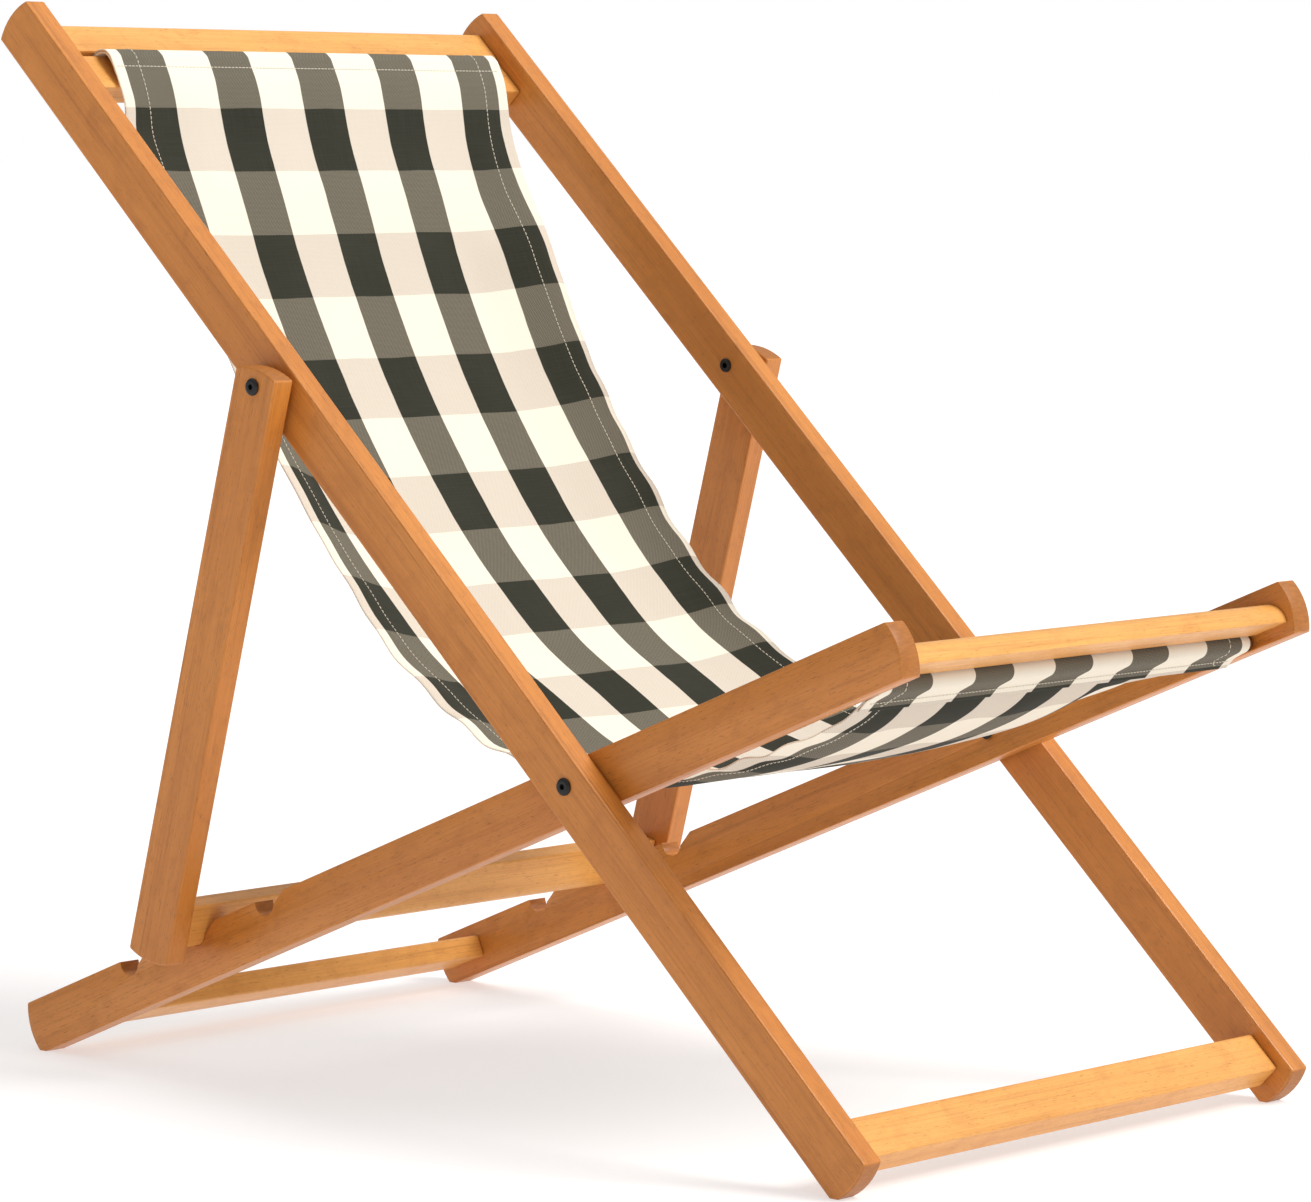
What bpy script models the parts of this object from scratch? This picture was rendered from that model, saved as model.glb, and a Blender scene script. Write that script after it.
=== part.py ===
"""Folding deck chair: three hinged hardwood frames and a woven sling.

Frame: +Z up, floor at z = 0, the sitter faces -Y, symmetric about x = 0.
The long outer frame (back frame) stands on the floor at the front and leans
backwards. The inner frame (seat frame) crosses it at the main pivot and stands
on the floor at the rear. The outermost frame (prop frame) hangs on the back
frame and its crossbar drops into one of three pairs of notches in the seat
rails. Millimetres are used for the driving dimensions.
"""

import math

import bmesh
import bpy
from mathutils import Matrix, Vector

MM = 0.001
GAP = 0.3                      # between pieces that touch

# ---------------------------------------------------------------- dimensions
BACK_SLOPE = 43.3              # degrees from the floor, rising to the rear
SEAT_SLOPE = 23.24             # degrees from the floor, rising to the front

RAIL_W = 41.0                  # width of every rail, seen from the side
RAIL_T = 20.0                  # thickness of every rail, across the chair
END_SAG = 4.5                  # height of the rounded rail ends
EASE = 1.6                     # eased edges

SEAT_IN, SEAT_OUT = 227.0, 247.0      # x of the seat rail's faces
BACK_IN, BACK_OUT = 250.0, 270.0      # x of the back rail's faces
PROP_IN, PROP_OUT = 275.0, 295.0      # x of the prop leg's faces

# along the back rail, measured from the main pivot (up is +); n is the
# distance in front of the pivot, square to the rail
BACK_UP, BACK_DOWN = 787.0, 362.3
BACK_OFF = -1.0                # rail centre line against the pivot
TOP_RAIL = (748.0, 776.5, -13.5, 5.0)
SLING_SLAT = (710.0, 744.8, -14.5, 3.2)
FOOT_RAIL = (-352.5, -318.5, -11.5, 10.5)

# along the seat rail, measured from the main pivot (forward is +)
SEAT_FRONT = 300.0
SEAT_OFF = -1.2
SEAT_FRONT_RAIL = (266.0, 297.0, -11.9, 6.5)
SEAT_FOOT_RAIL = (-611.5, -572.5, -9.5, 9.0)
NOTCHES = (-497.5, -419.0, -340.5)
NOTCH_R = 9.5
NOTCH_DEPTH = 13.2

PROP_PIVOT = 396.0             # above the main pivot, along the back rail
PROP_TOP = 10.3                # prop leg above its pivot
PROP_END = 448.5               # prop leg below its pivot
BAR_TOP = 408.0                # upper edge of the prop crossbar, from the pivot
BAR_T = 18.2

ROD_TOP_R = 5.0
ROD_TOP = (746.4, -21.5)       # back rail coordinates
ROD_FRONT_R = 6.0
ROD_FRONT = (256.0, -14.0)     # seat rail coordinates

SLING_W = 443.0
SLING_T = 1.6

BOLT_R, SLEEVE_R, BORE_R, HOLE_R = 3.0, 4.0, 3.3, 4.3
HEAD_R, HEAD_H = 6.4, 2.2
FLANGE_R, FLANGE_H = 5.6, 1.6

# colours
BEECH = (0.52, 0.23, 0.075)
BEECH_PALE = (0.68, 0.36, 0.14)
CLOTH = (0.42, 0.40, 0.36)
BLACK_STEEL = (0.03, 0.03, 0.032)


# ---------------------------------------------------------------- side plane
def unit(deg):
    a = math.radians(deg)
    return Vector((math.cos(a), math.sin(a)))


UB = unit(BACK_SLOPE)                     # up the back rail, (y, z)
NB = Vector((-UB.y, UB.x))                # in front of it
US = Vector((-math.cos(math.radians(SEAT_SLOPE)), math.sin(math.radians(SEAT_SLOPE))))
NS = Vector((US.y, -US.x))                # above the seat rail

FOOT_CUT = 2.0                            # how deep each foot is cut flat
MAIN_Z = BACK_DOWN * UB.y + (RAIL_W / 2 - BACK_OFF) * NB.y - FOOT_CUT
SEAT_REAR = (MAIN_Z + FOOT_CUT - (RAIL_W / 2 - SEAT_OFF) * NS.y) / US.y


def back_pt(s, n):
    return UB * s + NB * n


def seat_pt(s, n):
    return US * s + NS * n


def to_seat(p):
    return p.dot(US), p.dot(NS)


def arc_end(s, half, off, sag, steps=8):
    """Points of a rounded end at s, from n = -half to n = +half (sag signed)."""
    r = (half * half + sag * sag) / (2 * abs(sag))
    a = math.asin(half / r)
    out = []
    for i in range(steps + 1):
        t = -a + 2 * a * i / steps
        bulge = r * math.cos(t) - (r - abs(sag))
        out.append((s + math.copysign(bulge, sag), off + r * math.sin(t)))
    return out


def rail_outline(s0, s1, off, cuts=(), sag=END_SAG):
    """Closed outline of a rail; cuts are notches in its +n edge, by rising s."""
    half = RAIL_W / 2
    pts = arc_end(s1, half, off, sag)                    # far end, -n to +n
    for cut in sorted(cuts, key=lambda c: -c[0][0]):
        pts += list(reversed(cut))
    pts += list(reversed(arc_end(s0, half, off, -sag)))  # near end, +n to -n
    return pts


def notch(s):
    """Notch with an upright mouth; points by rising s."""
    top = SEAT_OFF + RAIL_W / 2
    c = seat_pt(s, top - NOTCH_DEPTH + NOTCH_R)
    pts = []
    for i in range(13):
        a = math.pi * i / 12
        p = to_seat(c + Vector((math.cos(a), -math.sin(a))) * NOTCH_R)
        pts.append((p[0], min(p[1], top - 0.01)))
    wall = to_seat(c + Vector((-NOTCH_R, 0)) + Vector((-0.62, 0.785)) * 30)
    a, b = Vector(pts[-1]), Vector(wall)
    k = (top - a.y) / (b.y - a.y)
    end = a + (b - a) * k
    pts[0] = (pts[0][0], top)
    pts.append((end.x, top))
    return pts


def clip_floor(pts, point):
    """Cuts an outline off at the floor, leaving a small flat foot."""
    def z(p):
        return MAIN_Z + point(*p).y
    out = []
    for i, b in enumerate(pts):
        a = pts[i - 1]
        za, zb = z(a), z(b)
        if (za < 0) != (zb < 0):
            k = za / (za - zb)
            out.append((a[0] + (b[0] - a[0]) * k, a[1] + (b[1] - a[1]) * k))
        if zb >= 0:
            out.append(b)
    return out


def soften(pts, r=2.0, limit=40.0):
    """Rounds the corners of an outline that turn by more than the limit."""
    out = []
    for i, b in enumerate(pts):
        a, b, c = Vector(pts[i - 1]), Vector(b), Vector(pts[(i + 1) % len(pts)])
        u, v = (b - a).normalized(), (c - b).normalized()
        turn = math.acos(max(-1.0, min(1.0, u.dot(v))))
        if turn < math.radians(limit):
            out.append((b.x, b.y))
            continue
        t = min(r * math.tan(turn / 2), 0.45 * (b - a).length, 0.45 * (c - b).length)
        p, q = b - u * t, b + v * t
        for k in range(4):
            w = k / 3
            m = p * (1 - w) ** 2 + b * 2 * w * (1 - w) + q * w * w
            out.append((m.x, m.y))
    return out


# notch that holds the bar, and the prop leg's direction
NOTCH_C = seat_pt(NOTCHES[1], SEAT_OFF + RAIL_W / 2 - NOTCH_DEPTH + NOTCH_R)
PROP_AT = back_pt(PROP_PIVOT, 0.0)
UP = (NOTCH_C - PROP_AT).normalized()                     # down the prop leg
NP = Vector((UP.y, -UP.x))                                # in front of it
BAR_C = (NOTCH_C - PROP_AT).length


def prop_pt(s, n):
    return PROP_AT + UP * s + NP * n


BACK_OUTLINE = clip_floor(soften(rail_outline(-BACK_DOWN, BACK_UP, BACK_OFF)), back_pt)
SEAT_OUTLINE = clip_floor(
    soften(rail_outline(-SEAT_REAR, SEAT_FRONT, SEAT_OFF, [notch(s) for s in NOTCHES])), seat_pt
)
PROP_OUTLINE = soften(rail_outline(-PROP_TOP, PROP_END, 0.0, (), 3.6))

ALL_Y = (
    [back_pt(*p).x for p in BACK_OUTLINE]
    + [seat_pt(*p).x for p in SEAT_OUTLINE]
    + [prop_pt(*p).x for p in PROP_OUTLINE]
)
MAIN_Y = -(min(ALL_Y) + max(ALL_Y)) / 2                   # centres the chair on y = 0
MAIN = Vector((MAIN_Y, MAIN_Z))


# ---------------------------------------------------------------- scene set-up
for obj in list(bpy.data.objects):
    bpy.data.objects.remove(obj, do_unlink=True)

chair = bpy.data.collections.new("deck_chair")
bpy.context.scene.collection.children.link(chair)
cutters = bpy.data.collections.new("cutters")
bpy.context.scene.collection.children.link(cutters)


def material(name, colour, rough, metal=0.0):
    m = bpy.data.materials.new(name)
    m.use_nodes = True
    b = m.node_tree.nodes["Principled BSDF"]
    b.inputs["Base Color"].default_value = (*colour, 1.0)
    b.inputs["Roughness"].default_value = rough
    b.inputs["Metallic"].default_value = metal
    return m


WOOD = ("wood", BEECH, 0.38, 0.0)
WOOD_PALE = ("wood_pale", BEECH_PALE, 0.42, 0.0)
STEEL = ("black_steel", BLACK_STEEL, 0.45, 0.9)
FABRIC = ("cloth", CLOTH, 0.95, 0.0)


def pivot_empty(name, yz):
    e = bpy.data.objects.new(name, None)
    chair.objects.link(e)
    e.location = (0, (MAIN.x + yz.x) * MM, (MAIN.y + yz.y) * MM)
    return e


back_root = pivot_empty("back_root", Vector((0, 0)))
seat_axis = pivot_empty("seat_axis", Vector((0, 0)))
prop_axis = pivot_empty("prop_axis", PROP_AT)
bpy.context.view_layer.update()


def side_matrix(u, n, x):
    """Local x along u, local y along n (both in the side plane), local z along +-X."""
    u3 = Vector((0, u.x, u.y))
    n3 = Vector((0, n.x, n.y))
    z3 = u3.cross(n3)
    m = Matrix((u3, n3, z3)).transposed().to_4x4()
    m.translation = Vector((x * MM, MAIN.x * MM, MAIN.y * MM))
    return m


def flat_solid(name, outline, thick, holes=()):
    """Mesh of a flat outline (mm) with a thickness, made from a filled 2D curve."""
    cu = bpy.data.curves.new(name + "_outline", "CURVE")
    cu.dimensions = "2D"
    cu.fill_mode = "BOTH"
    cu.extrude = thick * MM / 2
    for loop in [outline, *holes]:
        sp = cu.splines.new("POLY")
        sp.points.add(len(loop) - 1)
        for p, (a, b) in zip(sp.points, loop):
            p.co = (a * MM, b * MM, 0, 1)
        sp.use_cyclic_u = True
    ob = bpy.data.objects.new(name + "_outline", cu)
    chair.objects.link(ob)
    bpy.context.view_layer.update()
    me = bpy.data.meshes.new_from_object(ob.evaluated_get(bpy.context.evaluated_depsgraph_get()))
    bpy.data.objects.remove(ob, do_unlink=True)
    bpy.data.curves.remove(cu)
    bm = bmesh.new()
    bm.from_mesh(me)
    bmesh.ops.remove_doubles(bm, verts=bm.verts, dist=1e-6)
    bmesh.ops.dissolve_limit(bm, angle_limit=0.002, verts=bm.verts, edges=bm.edges)
    bmesh.ops.recalc_face_normals(bm, faces=bm.faces)
    if bm.calc_volume(signed=True) < 0:
        bmesh.ops.reverse_faces(bm, faces=bm.faces)
    bm.to_mesh(me)
    bm.free()
    me.name = name
    return me


def add(name, mesh, matrix, parent, mat, smooth=True):
    ob = bpy.data.objects.new(name, mesh)
    mesh.materials.clear()
    mesh.materials.append(bpy.data.materials.get(mat[0] + "_" + name) or material(mat[0] + "_" + name, *mat[1:]))
    if smooth:
        mesh.shade_smooth()
        mesh.set_sharp_from_angle(angle=math.radians(32))
    chair.objects.link(ob)
    ob.parent = parent
    ob.matrix_parent_inverse = parent.matrix_world.inverted()
    ob.matrix_world = matrix
    return ob


def ease(ob, width=EASE, segments=2):
    b = ob.modifiers.new("eased_edges", "BEVEL")
    b.width = width * MM
    b.segments = segments
    b.limit_method = "ANGLE"
    b.angle_limit = math.radians(50)
    b.use_clamp_overlap = True


def drill(ob, holes):
    """holes: (y, z) from the main pivot, a radius and, for a blind hole from the
    inner face, how far out across the chair it ends."""
    for i, (yz, r, *end) in enumerate(holes):
        side = math.copysign(1.0, ob.matrix_world.translation.x)
        length = 40.0 if end else 60.0
        bm = bmesh.new()
        bmesh.ops.create_cone(bm, cap_ends=True, cap_tris=False, segments=28, radius1=r * MM, radius2=r * MM, depth=length * MM)
        me = bpy.data.meshes.new(f"{ob.name}_hole{i}")
        bm.to_mesh(me)
        bm.free()
        c = bpy.data.objects.new(f"{ob.name}_hole{i}", me)
        cutters.objects.link(c)
        c.hide_render = True
        c.display_type = "WIRE"
        x = side * (end[0] - length / 2) * MM if end else ob.matrix_world.translation.x
        c.matrix_world = Matrix.Translation((x, (MAIN.x + yz.x) * MM, (MAIN.y + yz.y) * MM)) @ Matrix.Rotation(math.pi / 2, 4, "Y")
        m = ob.modifiers.new("hole", "BOOLEAN")
        m.operation = "DIFFERENCE"
        m.solver = "EXACT"
        m.object = c


def rail_pair(name, outline, u, n, x_in, x_out, parent, origin, holes):
    for side, sign in (("left", -1), ("right", 1)):
        me = flat_solid(f"{name}_{side}", outline, x_out - x_in)
        mat = side_matrix(u, n, sign * (x_in + x_out) / 2)
        mat.translation += Vector((0, origin.x * MM, origin.y * MM))
        ob = add(f"{name}_{side}", me, mat, parent, WOOD)
        ease(ob)
        bpy.context.view_layer.update()
        drill(ob, holes)


ORIGIN = Vector((0, 0))
rail_pair("back_rail", BACK_OUTLINE, UB, NB, BACK_IN, BACK_OUT, back_root, ORIGIN,
          [(ORIGIN, HOLE_R), (PROP_AT, HOLE_R)])
rail_pair("seat_rail", SEAT_OUTLINE, US, NS, SEAT_IN, SEAT_OUT, seat_axis, ORIGIN,
          [(ORIGIN, HOLE_R), (seat_pt(*ROD_FRONT), ROD_FRONT_R + GAP, SEAT_OUT - 7)])
rail_pair("prop_leg", PROP_OUTLINE, UP, NP, PROP_IN, PROP_OUT, prop_axis, PROP_AT,
          [(PROP_AT, HOLE_R)])


# ---------------------------------------------------------------- crossbars
def slat(name, box, u, n, half, parent, mat=WOOD, width=1.8):
    """Straight bar across the chair; box = s0, s1, n0, n1 in the rail's plane."""
    s0, s1, n0, n1 = box
    bm = bmesh.new()
    bmesh.ops.create_cube(bm, size=1.0)
    bmesh.ops.scale(bm, vec=((s1 - s0) * MM, (n1 - n0) * MM, 2 * (half - GAP) * MM), verts=bm.verts)
    bmesh.ops.translate(bm, vec=((s0 + s1) / 2 * MM, (n0 + n1) / 2 * MM, 0), verts=bm.verts)
    me = bpy.data.meshes.new(name)
    bm.to_mesh(me)
    bm.free()
    ob = add(name, me, side_matrix(u, n, 0), parent, mat)
    b = ob.modifiers.new("eased_edges", "BEVEL")
    b.width = width * MM
    b.segments = 2
    b.limit_method = "ANGLE"
    b.angle_limit = math.radians(40)
    return ob


slat("back_top_rail", TOP_RAIL, UB, NB, BACK_IN, back_root)
slat("back_sling_slat", SLING_SLAT, UB, NB, BACK_IN, back_root, width=1.4)
slat("back_foot_rail", FOOT_RAIL, UB, NB, BACK_IN, back_root)
slat("seat_foot_rail", SEAT_FOOT_RAIL, US, NS, SEAT_IN, seat_axis)


def extruded(name, outline, half, u, n, parent, at=ORIGIN, mat=WOOD, width=0.8):
    me = flat_solid(name, outline, 2 * (half - GAP))
    m = side_matrix(u, n, 0)
    m.translation += Vector((0, at.x * MM, at.y * MM))
    ob = add(name, me, m, parent, mat)
    if width:
        b = ob.modifiers.new("eased_edges", "BEVEL")
        b.width = width * MM
        b.segments = 2
        b.limit_method = "ANGLE"
        b.angle_limit = math.radians(50)
    return ob


def front_rail_outline():
    """Flat below and behind, quarter-rounded at the top front."""
    s0, s1, n0, n1 = SEAT_FRONT_RAIL
    r = 15.5
    pts = [(s0, n0), (s1, n0)]
    for i in range(11):
        a = math.pi / 2 * i / 10
        pts.append((s1 - r + r * math.cos(a), n1 - r + r * math.sin(a)))
    pts.append((s0 + 3, n1))
    for i in range(1, 5):
        a = math.pi / 2 * i / 4
        pts.append((s0 + 3 - 3 * math.sin(a), n1 - 3 + 3 * math.cos(a)))
    return pts


extruded("seat_front_rail", front_rail_outline(), SEAT_IN, US, NS, seat_axis)


def bar_outline():
    """Upright slat whose lower edge is rounded to sit in the notch."""
    h = BAR_T / 2
    pts = []
    for i in range(17):
        a = math.pi * i / 16
        pts.append((BAR_C + h * math.sin(a), -h * math.cos(a)))
    return [(BAR_TOP, -h)] + pts + [(BAR_TOP, h)]


extruded("prop_crossbar", bar_outline(), PROP_IN, UP, NP, prop_axis, PROP_AT, WOOD, 1.4)


# ---------------------------------------------------------------- rods
def rod(name, yz, r, half, parent, mat):
    bm = bmesh.new()
    bmesh.ops.create_cone(bm, cap_ends=True, cap_tris=False, segments=24, radius1=r * MM, radius2=r * MM, depth=2 * half * MM)
    me = bpy.data.meshes.new(name)
    bm.to_mesh(me)
    bm.free()
    m = Matrix.Translation((0, (MAIN.x + yz.x) * MM, (MAIN.y + yz.y) * MM)) @ Matrix.Rotation(math.pi / 2, 4, "Y")
    ob = add(name, me, m, parent, mat)
    b = ob.modifiers.new("eased_ends", "BEVEL")
    b.width = 0.6 * MM
    b.segments = 1
    b.limit_method = "ANGLE"
    b.angle_limit = math.radians(60)
    return ob


rod("sling_rod_top", back_pt(*ROD_TOP), ROD_TOP_R, SLING_W / 2 + 6, back_root, WOOD_PALE)
rod("sling_rod_front", seat_pt(*ROD_FRONT), ROD_FRONT_R, SEAT_OUT - 8, seat_axis, WOOD_PALE)


# ---------------------------------------------------------------- sling
def spline(points, per=5):
    """Catmull-Rom curve through the points."""
    out = []
    for i in range(len(points) - 1):
        p0 = points[max(i - 1, 0)]
        p1, p2 = points[i], points[i + 1]
        p3 = points[min(i + 2, len(points) - 1)]
        for k in range(per):
            t = k / per
            a = 2 * p1
            b = (p2 - p0) * t
            c = (2 * p0 - 5 * p1 + 4 * p2 - p3) * t * t
            d = (3 * p1 - p0 - 3 * p2 + p3) * t * t * t
            out.append((a + b + c + d) / 2)
    out.append(points[-1])
    return out


SLING_BACK = (       # hangs from the slot, back rail coordinates
    (746.4, -5.0), (746.4, 3.5), (745.2, 9.0), (740.5, 12.8), (732.0, 13.8), (721.0, 10.4),
)
SLING_BELLY = (      # down through the belly and up to the front rod, from the main pivot, (y, z)
    (512.0, 491.0), (480.0, 415.0), (456.0, 355.0), (432.0, 305.0), (406.0, 258.0), (377.0, 214.0),
    (345.0, 170.0), (313.0, 132.0), (277.0, 97.0), (239.0, 65.0), (187.0, 35.0), (134.0, 6.5),
    (78.0, -10.5), (18.0, -12.0), (-41.0, -2.0), (-88.0, 8.0), (-132.0, 20.5), (-170.0, 35.0),
    (-197.0, 49.0), (-216.0, 61.5),
)


def sling_section():
    """2D faces of the side view: a strip with a closed loop round each rod."""
    path = [back_pt(*p) for p in SLING_BACK] + [Vector(p) for p in SLING_BELLY]
    a, b = back_pt(*ROD_TOP), seat_pt(*ROD_FRONT)
    ra, rb = ROD_TOP_R + GAP, ROD_FRONT_R + GAP
    path = [a + (path[0] - a).normalized() * (ra + SLING_T + 1.2)] + path + [b + (path[-1] - b).normalized() * (rb + SLING_T + 1.2)]
    line = spline(path, 4)
    left, right = [], []
    for i, p in enumerate(line):
        d = (line[min(i + 1, len(line) - 1)] - line[max(i - 1, 0)]).normalized()
        n = Vector((-d.y, d.x)) * SLING_T / 2
        left.append(p + n)
        right.append(p - n)
    faces = [[left[i], left[i + 1], right[i + 1], right[i]] for i in range(len(line) - 1)]

    def loop(c, r, start, end, steps=20):
        """Wall round a rod, open towards the strip, and the piece that joins them."""
        a0 = math.atan2(start.y - c.y, start.x - c.x)
        a1 = math.atan2(end.y - c.y, end.x - c.x)
        turn = (a1 - a0) % (2 * math.pi)
        if turn < math.pi:
            turn -= 2 * math.pi
        dirs = [Vector((math.cos(a0 + turn * t), math.sin(a0 + turn * t)))
                for t in (0.03 + 0.94 * k / steps for k in range(steps + 1))]
        outer = [c + d * (r + SLING_T) for d in dirs]
        inner = [c + d * r for d in dirs]
        for i in range(steps):
            faces.append([outer[i], outer[i + 1], inner[i + 1], inner[i]])
        mid = c + (dirs[0] + dirs[-1]).normalized() * r
        faces.append([start, outer[0], inner[0], mid, inner[-1], outer[-1], end])

    loop(b, rb, left[-1], right[-1])
    loop(a, ra, right[0], left[0])
    return faces


def prism(name, faces, width):
    """Closed mesh of 2D faces pulled out along local z."""
    me = bpy.data.meshes.new(name)
    bm = bmesh.new()
    verts = {}

    def vert(p, side):
        key = (round(p.x, 5), round(p.y, 5), side)
        if key not in verts:
            verts[key] = bm.verts.new((p.x * MM, p.y * MM, side * width * MM / 2))
        return verts[key]

    edges = {}
    for f in faces:
        area = sum(p.x * q.y - q.x * p.y for p, q in zip(f, f[1:] + f[:1]))
        f = f if area > 0 else list(reversed(f))
        bm.faces.new([vert(p, 1) for p in f])
        bm.faces.new([vert(p, -1) for p in reversed(f)])
        for p, q in zip(f, f[1:] + f[:1]):
            a, b = vert(p, 1), vert(q, 1)
            if (b, a) in edges:
                del edges[(b, a)]
            else:
                edges[(a, b)] = (p, q)
    for p, q in edges.values():
        bm.faces.new([vert(p, 1), vert(p, -1), vert(q, -1), vert(q, 1)])
    bm.normal_update()
    bm.to_mesh(me)
    bm.free()
    return me


add("sling", prism("sling", sling_section(), SLING_W), side_matrix(Vector((1, 0)), Vector((0, 1)), 0), back_root, FABRIC)


# ---------------------------------------------------------------- hardware
def turned(name, profile, yz, x, sign, parent, mat, steps=24, ring=False):
    """Turned piece about the X axis; profile is (radius, height) from the outer end down."""
    me = bpy.data.meshes.new(name)
    bm = bmesh.new()
    vs = [bm.verts.new((r * MM, 0, h * MM)) for r, h in profile]
    for a, b in zip(vs, vs[1:] + (vs[:1] if ring else [])):
        bm.edges.new((a, b))
    bm.to_mesh(me)
    bm.free()
    m = (Matrix.Translation((sign * x * MM, (MAIN.x + yz.x) * MM, (MAIN.y + yz.y) * MM))
         @ Matrix.Rotation(sign * math.pi / 2, 4, "Y"))
    ob = add(name, me, m, parent, mat, smooth=False)
    s = ob.modifiers.new("turn", "SCREW")
    s.axis = "Z"
    s.angle = 2 * math.pi
    s.steps = steps
    s.render_steps = steps
    s.use_merge_vertices = True
    s.merge_threshold = 1e-6
    s.use_smooth_shade = True
    return ob


def hex_socket(ob, top, across, deep):
    """Six-sided socket cut into the head, from the top down."""
    bm = bmesh.new()
    bmesh.ops.create_cone(bm, cap_ends=True, cap_tris=False, segments=6, radius1=across / math.sqrt(3) * MM,
                          radius2=across / math.sqrt(3) * MM, depth=2 * deep * MM)
    me = bpy.data.meshes.new(ob.name + "_socket")
    bm.to_mesh(me)
    bm.free()
    c = bpy.data.objects.new(ob.name + "_socket", me)
    cutters.objects.link(c)
    c.hide_render = True
    c.display_type = "WIRE"
    c.matrix_world = ob.matrix_world @ Matrix.Translation((0, 0, top * MM))
    m = ob.modifiers.new("socket", "BOOLEAN")
    m.operation = "DIFFERENCE"
    m.solver = "EXACT"
    m.object = c


def bolt_set(name, yz, x_inner, x_mid_in, x_mid_out, x_outer, parent):
    """Bolt from the outer face, barrel nut from the inner face, washer between."""
    for side, sign in (("left", -1), ("right", 1)):
        # bolt: origin on the outer face, head outwards
        head = x_outer + GAP
        shank = head - (x_inner + 8.0)
        ob = turned(f"{name}_bolt_{side}", [
            (0.0, HEAD_H), (HEAD_R - 2.2, HEAD_H), (HEAD_R - 0.7, HEAD_H * 0.78), (HEAD_R, HEAD_H * 0.35), (HEAD_R, 0.0),
            (BOLT_R, 0.0), (BOLT_R, -shank + 0.8), (BOLT_R - 0.8, -shank), (0.0, -shank),
        ], yz, head, sign, parent, STEEL)
        bpy.context.view_layer.update()
        hex_socket(ob, HEAD_H, 4.0, 2.6)
        # barrel nut: flange on the inner face, sleeve outwards, open bore
        face = x_inner - GAP
        reach = (x_outer - 7.0) - face
        bore_end = -0.1
        turned(f"{name}_nut_{side}", [
            (2.3, FLANGE_H), (FLANGE_R - 0.8, FLANGE_H), (FLANGE_R, FLANGE_H * 0.5), (FLANGE_R, 0.0), (SLEEVE_R, 0.0),
            (SLEEVE_R, -reach), (BORE_R, -reach), (BORE_R, bore_end), (2.3, bore_end),
        ], yz, face, sign, parent, STEEL, ring=True).matrix_world = (
            Matrix.Translation((sign * face * MM, (MAIN.x + yz.x) * MM, (MAIN.y + yz.y) * MM))
            @ Matrix.Rotation(-sign * math.pi / 2, 4, "Y"))
        # washer between the two rails
        t = x_mid_out - x_mid_in - 2 * GAP
        turned(f"{name}_spacer_{side}", [
            (HOLE_R + 0.2, t / 2), (9.0, t / 2), (9.0, -t / 2), (HOLE_R + 0.2, -t / 2),
        ], yz, (x_mid_in + x_mid_out) / 2, sign, parent, STEEL, ring=True)


bolt_set("main_pivot", ORIGIN, SEAT_IN, SEAT_OUT, BACK_IN, BACK_OUT, back_root)
bolt_set("prop_pivot", PROP_AT, BACK_IN, BACK_OUT, PROP_IN, PROP_OUT, back_root)

bpy.context.view_layer.update()
print("main pivot y, z (mm):", round(MAIN.x, 3), round(MAIN.y, 3))
print("prop pivot y, z (mm):", round(MAIN.x + PROP_AT.x, 3), round(MAIN.y + PROP_AT.y, 3))
print("prop leg slope:", round(math.degrees(math.atan2(-UP.y, UP.x)), 3), "bar centre", round(BAR_C, 2))
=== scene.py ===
"""Looks of the folding deck chair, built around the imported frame.

Metres, +Z up, floor at z = 0, the sitter faces -Y. The wood and the hardware
are the frame's own nodes with better materials. The sling is rebuilt here as
one continuous cloth: out of the slot between the two upper slats, down through
the belly and round the front rod, with hems, sleeves and stitching.
"""

import math

import bmesh
import bpy
import numpy as np
from mathutils import Matrix, Vector


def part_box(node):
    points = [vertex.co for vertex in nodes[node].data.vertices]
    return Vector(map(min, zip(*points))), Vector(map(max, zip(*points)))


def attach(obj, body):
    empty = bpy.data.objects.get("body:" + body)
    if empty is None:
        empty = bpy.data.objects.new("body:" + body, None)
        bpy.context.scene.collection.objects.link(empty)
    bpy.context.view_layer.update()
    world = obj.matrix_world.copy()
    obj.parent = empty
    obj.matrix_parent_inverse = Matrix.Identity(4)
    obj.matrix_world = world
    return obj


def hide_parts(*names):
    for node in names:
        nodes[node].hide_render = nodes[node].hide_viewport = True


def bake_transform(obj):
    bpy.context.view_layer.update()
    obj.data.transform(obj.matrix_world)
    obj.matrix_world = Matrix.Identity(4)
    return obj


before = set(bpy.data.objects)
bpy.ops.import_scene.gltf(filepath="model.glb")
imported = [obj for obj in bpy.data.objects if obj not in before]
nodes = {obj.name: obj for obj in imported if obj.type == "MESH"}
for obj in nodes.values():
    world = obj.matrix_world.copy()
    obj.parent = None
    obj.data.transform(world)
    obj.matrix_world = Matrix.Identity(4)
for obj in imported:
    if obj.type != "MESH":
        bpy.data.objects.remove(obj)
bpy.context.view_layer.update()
MM = 0.001


def centre(node):
    lo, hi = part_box(node)
    return (lo + hi) / 2


PIVOT = centre("main_pivot_bolt_left")
PIV = np.array([PIVOT.y, PIVOT.z]) / MM            # (y, z) in mm
ROD_T = centre("sling_rod_top")
ROD_T = np.array([ROD_T.y, ROD_T.z]) / MM
ROD_F = centre("sling_rod_front")
ROD_F = np.array([ROD_F.y, ROD_F.z]) / MM

BACK = math.radians(43.3)                          # slope of the back rails
SEAT = math.radians(23.24)                         # slope of the seat rails


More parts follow.
